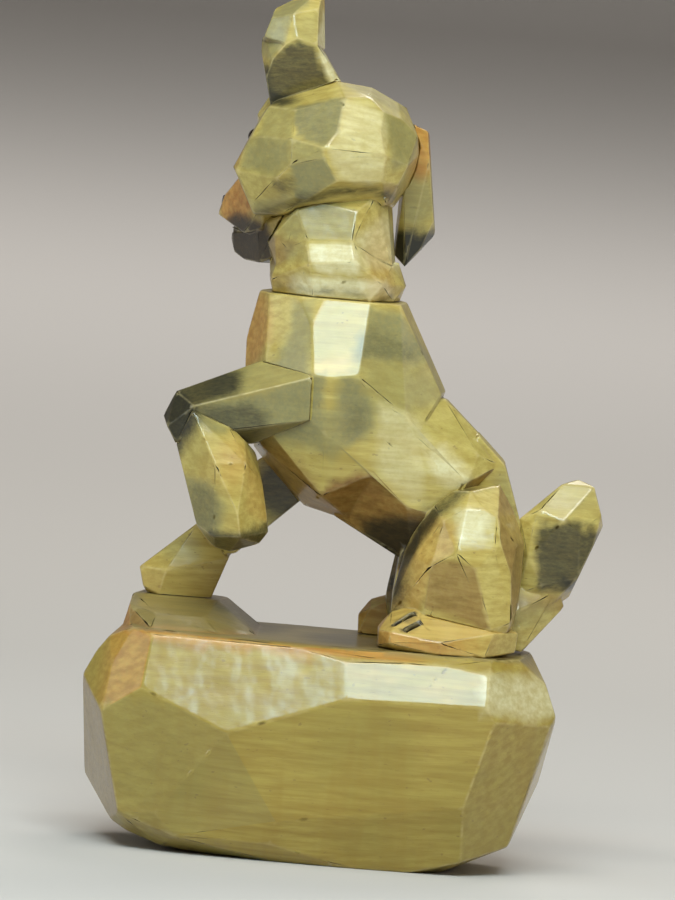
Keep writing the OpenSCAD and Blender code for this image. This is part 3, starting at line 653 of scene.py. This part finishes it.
# ------------------------------------------------------------- materials ----
class Nodes:
    def __init__(self, name):
        self.mat = bpy.data.materials.new(name)
        self.mat.use_nodes = True
        self.tree = self.mat.node_tree
        self.tree.nodes.clear()
        self.out = self.tree.nodes.new("ShaderNodeOutputMaterial")
        self.bsdf = self.tree.nodes.new("ShaderNodeBsdfPrincipled")
        self.link(self.bsdf.outputs[0], self.out.inputs[0])

    def link(self, a, b):
        self.tree.links.new(a, b)

    def put(self, socket, v):
        if hasattr(v, "is_output"):
            self.link(v, socket)
        else:
            socket.default_value = v

    def math(self, op, a, b=0.0, clamp=False):
        nd = self.tree.nodes.new("ShaderNodeMath")
        nd.operation, nd.use_clamp = op, clamp
        self.put(nd.inputs[0], a)
        self.put(nd.inputs[1], b)
        return nd.outputs[0]

    def vec(self, op, a, b=(0, 0, 0), out=0):
        nd = self.tree.nodes.new("ShaderNodeVectorMath")
        nd.operation = op
        self.put(nd.inputs[0], a)
        self.put(nd.inputs[1], b)
        return nd.outputs[out]

    def noise(self, vector, scale=1.0, detail=2.0, rough=0.5, distort=0.0):
        nd = self.tree.nodes.new("ShaderNodeTexNoise")
        nd.inputs["Scale"].default_value = scale
        nd.inputs["Detail"].default_value = detail
        nd.inputs["Roughness"].default_value = rough
        nd.inputs["Distortion"].default_value = distort
        self.link(vector, nd.inputs["Vector"])
        return nd.outputs["Fac"]

    def ramp(self, fac, *stops):
        nd = self.tree.nodes.new("ShaderNodeMapRange")
        nd.interpolation_type = "SMOOTHSTEP"
        self.put(nd.inputs["Value"], fac)
        for k, v in zip(("From Min", "From Max", "To Min", "To Max"), stops):
            nd.inputs[k].default_value = v
        return nd.outputs[0]

    def mix(self, fac, a, b, mode="MIX"):
        nd = self.tree.nodes.new("ShaderNodeMix")
        nd.data_type, nd.blend_type = "RGBA", mode
        self.put(nd.inputs[0], fac)
        self.put(nd.inputs[6], a)
        self.put(nd.inputs[7], b)
        return nd.outputs[2]

    def bump(self, height, strength, distance, normal=None):
        nd = self.tree.nodes.new("ShaderNodeBump")
        nd.inputs["Strength"].default_value = strength
        nd.inputs["Distance"].default_value = distance
        self.link(height, nd.inputs["Height"])
        if normal is not None:
            self.link(normal, nd.inputs["Normal"])
        return nd.outputs[0]


def scaled(N, coord, x, y, z, shift=(0, 0, 0)):
    return N.vec("ADD", N.vec("MULTIPLY", coord, (x, y, z)), shift)


def limewood(name, light, deep, shift=0.0, crack=False):
    """Lacquered limewood, grain along X, with the airbrushed paint and the painted shade and highlights laid over it.
    """
    N = Nodes(name)
    tc = N.tree.nodes.new("ShaderNodeTexCoord")
    mm = N.vec("SCALE", tc.outputs["Object"])
    mm.node.inputs["Scale"].default_value = 1000.0
    mm = N.vec("ADD", mm, (shift, 0.37 * shift, 0.61 * shift))
    sep = N.tree.nodes.new("ShaderNodeSeparateXYZ")
    N.link(mm, sep.inputs[0])
    # growth rings of a log that lies along X, its heart below and behind
    drift = N.noise(scaled(N, mm, 0.006, 0.022, 0.022), 1.0, 3.0, 0.5)
    ry = N.math("ADD", sep.outputs[1], -95.0)
    rz = N.math("ADD", sep.outputs[2], 190.0)
    rad = N.math("SQRT", N.math("ADD", N.math("MULTIPLY", ry, ry), N.math("MULTIPLY", rz, rz)))
    rad = N.math("ADD", rad, N.math("MULTIPLY", drift, 26.0))
    ring = N.math("FRACT", N.math("DIVIDE", rad, 2.3))
    late = N.ramp(ring, 0.55, 0.97, 0.0, 1.0)
    # long fibres, short pores, soft cross figure, wide mottling
    fibre = N.noise(scaled(N, mm, 0.06, 2.4, 2.4), 1.0, 3.0, 0.6)
    streak = N.noise(scaled(N, mm, 0.018, 0.55, 0.55), 1.0, 3.0, 0.55)
    pores = N.ramp(N.noise(scaled(N, mm, 0.40, 4.6, 4.6), 1.0, 2.0, 0.5), 0.66, 0.74, 0.0, 1.0)
    curl = N.noise(scaled(N, mm, 0.17, 0.018, 0.024), 1.0, 2.0, 0.5)
    mottle = N.noise(scaled(N, mm, 0.030, 0.045, 0.045), 1.0, 4.0, 0.55)
    specks = N.ramp(N.noise(scaled(N, mm, 0.55, 0.7, 0.9, (31, 5, 9)), 1.0, 1.0, 0.4), 0.735, 0.78, 0.0, 1.0)

    base = N.mix(N.ramp(streak, 0.32, 0.70, 0.0, 1.0), light, deep)
    base = N.mix(N.math("MULTIPLY", late, 0.17), base, (deep[0] * 0.72, deep[1] * 0.62, deep[2] * 0.50, 1))
    base = N.mix(N.ramp(mottle, 0.42, 0.68, 0.0, 0.42), base, (deep[0] * 0.80, deep[1] * 0.93, deep[2] * 0.95, 1))
    base = N.mix(N.ramp(curl, 0.48, 0.66, 0.0, 0.20), base, (deep[0] * 0.88, deep[1] * 0.74, deep[2] * 0.45, 1))
    base = N.mix(N.ramp(fibre, 0.30, 0.62, 0.17, 0.0), base, (deep[0] * 0.66, deep[1] * 0.55, deep[2] * 0.42, 1))
    base = N.mix(N.math("MULTIPLY", pores, 0.34), base, (0.16, 0.075, 0.018, 1))
    base = N.mix(N.math("MULTIPLY", specks, 0.45), base, (0.20, 0.12, 0.04, 1))

    ed = N.tree.nodes.new("ShaderNodeAttribute")
    ed.attribute_name = "edge"
    es = N.tree.nodes.new("ShaderNodeSeparateColor")
    N.link(ed.outputs["Color"], es.inputs[0])
    wear = N.noise(scaled(N, mm, 0.25, 0.35, 0.35, (3, 9, 27)), 1.0, 3.0, 0.6)
    at = N.tree.nodes.new("ShaderNodeAttribute")
    at.attribute_name = "shade"
    cs = N.tree.nodes.new("ShaderNodeSeparateColor")
    N.link(at.outputs["Color"], cs.inputs[0])
    black, amber, haze, brown = cs.outputs[0], cs.outputs[1], cs.outputs[2], at.outputs["Alpha"]
    mist = N.noise(scaled(N, mm, 0.8, 0.8, 0.8), 1.0, 3.0, 0.65)
    dry = N.noise(scaled(N, mm, 0.45, 1.5, 1.5, (7, 3, 1)), 1.0, 3.0, 0.7)
    # painted highlights: cuts lightened towards pale wood where a lamp's reflection is painted in
    pale = N.math("MULTIPLY", es.outputs[2], N.ramp(mist, 0.2, 0.7, 0.62, 1.0))
    base = N.mix(pale, base, N.mix(N.ramp(streak, 0.3, 0.7, 0.0, 1.0), (0.86, 0.82, 0.54, 1), (0.74, 0.66, 0.36, 1)))
    # amber tint; on the rock's left-facing cuts it is painted warm bounce light
    amber = N.math("MULTIPLY", amber, N.ramp(mist, 0.25, 0.65, 0.72, 1.0))
    base = N.mix(amber, base, N.mix(N.ramp(streak, 0.3, 0.7, 0.0, 1.0), (0.60, 0.285, 0.055, 1), (0.42, 0.16, 0.022, 1)))
    # dark warm tint: painted shade and warm bounce light on undersides and shadowed cuts
    brown = N.math("MULTIPLY", brown, N.ramp(mist, 0.2, 0.7, 0.80, 1.0))
    base = N.mix(brown, base, N.mix(N.ramp(streak, 0.3, 0.7, 0.0, 1.0), (0.27, 0.125, 0.026, 1), (0.17, 0.070, 0.012, 1)))
    # grey-green tint: partly airbrushed paint, partly painted shade and painted reflection
    haze = N.math("MULTIPLY", haze, N.ramp(mist, 0.2, 0.75, 0.64, 0.90))
    base = N.mix(haze, base, N.mix(N.ramp(mottle, 0.3, 0.7, 0.0, 1.0), (0.250, 0.236, 0.108, 1), (0.180, 0.172, 0.078, 1)))
    # black paint; under the jaw, at the throat and on the rock under the dog it is painted shadow
    dark = N.math("ADD", black, N.math("MULTIPLY", N.math("SUBTRACT", dry, 0.5), N.math("MULTIPLY", N.math("MULTIPLY", black, N.math("SUBTRACT", 1.0, black)), 2.6)), True)
    base = N.mix(dark, base, (0.0085, 0.0095, 0.0065, 1))
    # ridges are sanded paler, valleys hold a little stain
    rub = N.math("MULTIPLY", es.outputs[0], N.ramp(wear, 0.35, 0.62, 0.10, 0.55))
    base = N.mix(rub, base, N.mix(0.55, base, (0.80, 0.66, 0.33, 1)))
    base = N.mix(N.math("MULTIPLY", es.outputs[1], 0.28), base, (0.20, 0.12, 0.035, 1))
    if crack:
        # a fine drying crack across the pale front cut
        a, b = (20.5, -36.9, 44.2), (27.0, -33.9, 52.0)
        ln = math.sqrt(sum((b[i] - a[i]) ** 2 for i in range(3)))
        d = tuple((b[i] - a[i]) / ln for i in range(3))
        q = N.vec("SUBTRACT", mm, tuple(a[i] + (shift, 0.37 * shift, 0.61 * shift)[i] for i in range(3)))
        wig = N.noise(scaled(N, mm, 0.5, 0.5, 0.5), 1.0, 2.0, 0.6)
        along = N.vec("DOT_PRODUCT", q, d, 1)
        proj = N.vec("SCALE", d)
        N.link(along, proj.node.inputs["Scale"])
        off = N.vec("LENGTH", N.vec("ADD", N.vec("SUBTRACT", q, proj), (0, 0, 0)), out=1)
        off = N.math("ADD", off, N.math("MULTIPLY", N.math("SUBTRACT", wig, 0.5), 2.2))
        line = N.ramp(N.math("ABSOLUTE", off), 0.10, 0.62, 1.0, 0.0)
        ends = N.math("MULTIPLY", N.ramp(along, -0.5, 2.0, 0.0, 1.0), N.ramp(along, ln - 1.0, ln + 1.0, 1.0, 0.0))
        line = N.math("MULTIPLY", line, ends)
        base = N.mix(N.math("MULTIPLY", line, 0.65), base, (0.20, 0.13, 0.05, 1))
    N.link(base, N.bsdf.inputs["Base Color"])
    rough = N.math("ADD", N.ramp(fibre, 0.3, 0.7, 0.30, 0.40), N.math("MULTIPLY", mottle, 0.10))
    N.link(rough, N.bsdf.inputs["Roughness"])
    N.bsdf.inputs["IOR"].default_value = 1.50
    N.bsdf.inputs["Specular IOR Level"].default_value = 0.28
    N.bsdf.inputs["Coat Weight"].default_value = 0.62
    N.bsdf.inputs["Coat Roughness"].default_value = 0.16
    N.bsdf.inputs["Coat IOR"].default_value = 1.50
    # the knife's ripple shows through the lacquer, the fibres only just
    ripple = N.noise(scaled(N, mm, 0.11, 0.11, 0.11), 1.0, 2.0, 0.45)
    chop = N.noise(scaled(N, mm, 0.30, 0.22, 0.22, (2, 8, 4)), 1.0, 2.0, 0.5)
    coat = N.bump(ripple, 0.5, 0.0006)
    coat = N.bump(chop, 0.25, 0.00008, coat)
    N.link(coat, N.bsdf.inputs["Coat Normal"])
    grain = N.bump(fibre, 0.35, 0.00005, coat)
    grain = N.bump(N.math("SUBTRACT", 1.0, pores), 0.30, 0.00005, grain)
    if crack:
        grain = N.bump(N.math("SUBTRACT", 1.0, line), 0.6, 0.0002, grain)
    N.link(grain, N.bsdf.inputs["Normal"])
    return N.mat


def black_gloss(name, colour, rough):
    N = Nodes(name)
    tc = N.tree.nodes.new("ShaderNodeTexCoord")
    mm = N.vec("SCALE", tc.outputs["Object"])
    mm.node.inputs["Scale"].default_value = 1000.0
    a = N.noise(mm, 0.9, 3.0, 0.6)
    N.link(N.mix(N.ramp(a, 0.35, 0.7, 0.0, 1.0), colour, tuple(2.4 * c for c in colour[:3]) + (1,)), N.bsdf.inputs["Base Color"])
    N.link(N.ramp(a, 0.3, 0.7, rough, rough + 0.10), N.bsdf.inputs["Roughness"])
    N.bsdf.inputs["Coat Weight"].default_value = 0.8
    N.bsdf.inputs["Coat Roughness"].default_value = 0.08
    N.link(N.bump(a, 0.25, 0.0002), N.bsdf.inputs["Normal"])
    return N.mat


def beech(name):
    N = Nodes(name)
    tc = N.tree.nodes.new("ShaderNodeTexCoord")
    mm = N.vec("SCALE", tc.outputs["Object"])
    mm.node.inputs["Scale"].default_value = 1000.0
    fleck = N.noise(scaled(N, mm, 1.8, 1.8, 0.25), 1.0, 3.0, 0.6)
    base = N.mix(N.ramp(fleck, 0.35, 0.7, 0.0, 1.0), (0.55, 0.33, 0.17, 1), (0.36, 0.18, 0.08, 1))
    N.link(base, N.bsdf.inputs["Base Color"])
    N.link(N.ramp(fleck, 0.3, 0.7, 0.55, 0.70), N.bsdf.inputs["Roughness"])
    N.link(N.bump(fleck, 0.3, 0.0001), N.bsdf.inputs["Normal"])
    return N.mat


LIGHT, DEEP = (0.620, 0.500, 0.145, 1), (0.470, 0.350, 0.082, 1)
# the rock is a darker copy of the limewood, set to match its front cut, which sits in shade: partly painted shade
wood_rock = limewood("lacquered_rock", (0.450, 0.340, 0.070, 1), (0.350, 0.240, 0.041, 1), 0.0, True)
wood = limewood("lacquered_limewood", LIGHT, DEEP, 17.0)
paint_black = black_gloss("black_paint", (0.010, 0.010, 0.009, 1), 0.22)
bead = black_gloss("eye_bead", (0.012, 0.007, 0.004, 1), 0.10)
peg = beech("beech_peg")

for node in CARVED:
    piece = carve(node)
    mat = wood_rock if node == "base_rock" else paint_black if node == "nose" else wood
    piece.data.materials.append(mat)
    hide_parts(node)
    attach(piece, "root")


def coat_node(node, mat):
    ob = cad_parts[node]
    if not ob.material_slots:
        ob.data.materials.append(mat)
    for s in ob.material_slots:
        s.material = mat


for node in DOWELS:
    coat_node(node, peg)
coat_node("eyes", bead)


# ------------------------------------------------------------------ stage ---
def stage():
    """A wide pale floor that turns up softly into a wall far outside every view."""
    bm = bmesh.new()
    prof = [(0.6, 0.0), (3.0, 0.0), (7.5, 0.0)]
    for i in range(1, 9):
        a = math.pi / 2 * i / 8
        prof.append((7.5 + 1.5 * math.sin(a), 1.5 - 1.5 * math.cos(a)))
    prof.append((9.0, 4.0))
    count = 72
    middle = bm.verts.new((0.0, 0.0, 0.0))
    rows = [[bm.verts.new((r * math.cos(2 * math.pi * k / count), r * math.sin(2 * math.pi * k / count), z))
             for k in range(count)] for r, z in prof]
    for k in range(count):
        bm.faces.new((middle, rows[0][k], rows[0][(k + 1) % count]))
    for a, b in zip(rows, rows[1:]):
        for k in range(count):
            bm.faces.new((a[k], b[k], b[(k + 1) % count], a[(k + 1) % count]))
    me = bpy.data.meshes.new("floor")
    bm.to_mesh(me)
    bm.free()
    for f in me.polygons:
        f.use_smooth = True
    ob = bpy.data.objects.new("floor", me)
    bpy.context.scene.collection.objects.link(ob)
    N = Nodes("pale_floor")
    N.bsdf.inputs["Base Color"].default_value = (0.60, 0.575, 0.55, 1)
    N.bsdf.inputs["Roughness"].default_value = 0.85
    N.bsdf.inputs["Specular IOR Level"].default_value = 0.1
    me.materials.append(N.mat)


stage()


def lamp(name, azimuth, elevation, distance, width, height, power, colour, at=(0, 0, 0.10)):
    """A soft box seen from the object at that azimuth (0 is the camera's side, + to the right)."""
    a, e = math.radians(azimuth), math.radians(elevation)
    d = Vector((math.sin(a) * math.cos(e), -math.cos(a) * math.cos(e), math.sin(e)))
    data = bpy.data.lights.new(name, "AREA")
    data.shape, data.size, data.size_y = "RECTANGLE", width, height
    data.energy, data.color = power, colour
    ob = bpy.data.objects.new(name, data)
    ob.location = Vector(at) + d * distance
    ob.rotation_euler = (-d).to_track_quat("-Z", "Y").to_euler()
    bpy.context.scene.collection.objects.link(ob)
    return ob


lamp("key", -3, 45.5, 1.5, 0.95, 0.26, 13.0, (0.97, 1.0, 0.95))
lamp("sky", 1, 36, 1.6, 0.75, 0.22, 8.0, (0.50, 0.82, 1.0))
lamp("overhead", -10, 72, 4.0, 3.2, 3.2, 50.0, (1.0, 0.99, 0.92))
lamp("window", -70, 20, 1.6, 0.50, 0.60, 2.2, (0.74, 0.88, 1.0))
lamp("fill_right", 75, 30, 1.6, 0.6, 0.6, 2.0, (1.0, 0.95, 0.86))
lamp("rim_back", 160, 45, 1.5, 0.7, 0.5, 7.0, (1.0, 0.96, 0.90))
# four lamps turned away from the object light the far floor for every viewing direction
for k in range(4):
    a = math.pi / 2 * k
    lamp("backdrop_%d" % k, 90.0 * k + 180.0, 28, 5.5, 1.6, 1.0, 75.0, (1.0, 0.98, 0.95),
         at=(6.8 * math.sin(a), -6.8 * math.cos(a), 0.0))

world = bpy.data.worlds.new("room")
bpy.context.scene.world = world
world.use_nodes = True
bg = world.node_tree.nodes["Background"]
bg.inputs[0].default_value = (1.0, 0.94, 0.86, 1)
bg.inputs[1].default_value = 0.11

bpy.context.scene.view_settings.view_transform = "Standard"
bpy.context.view_layer.update()
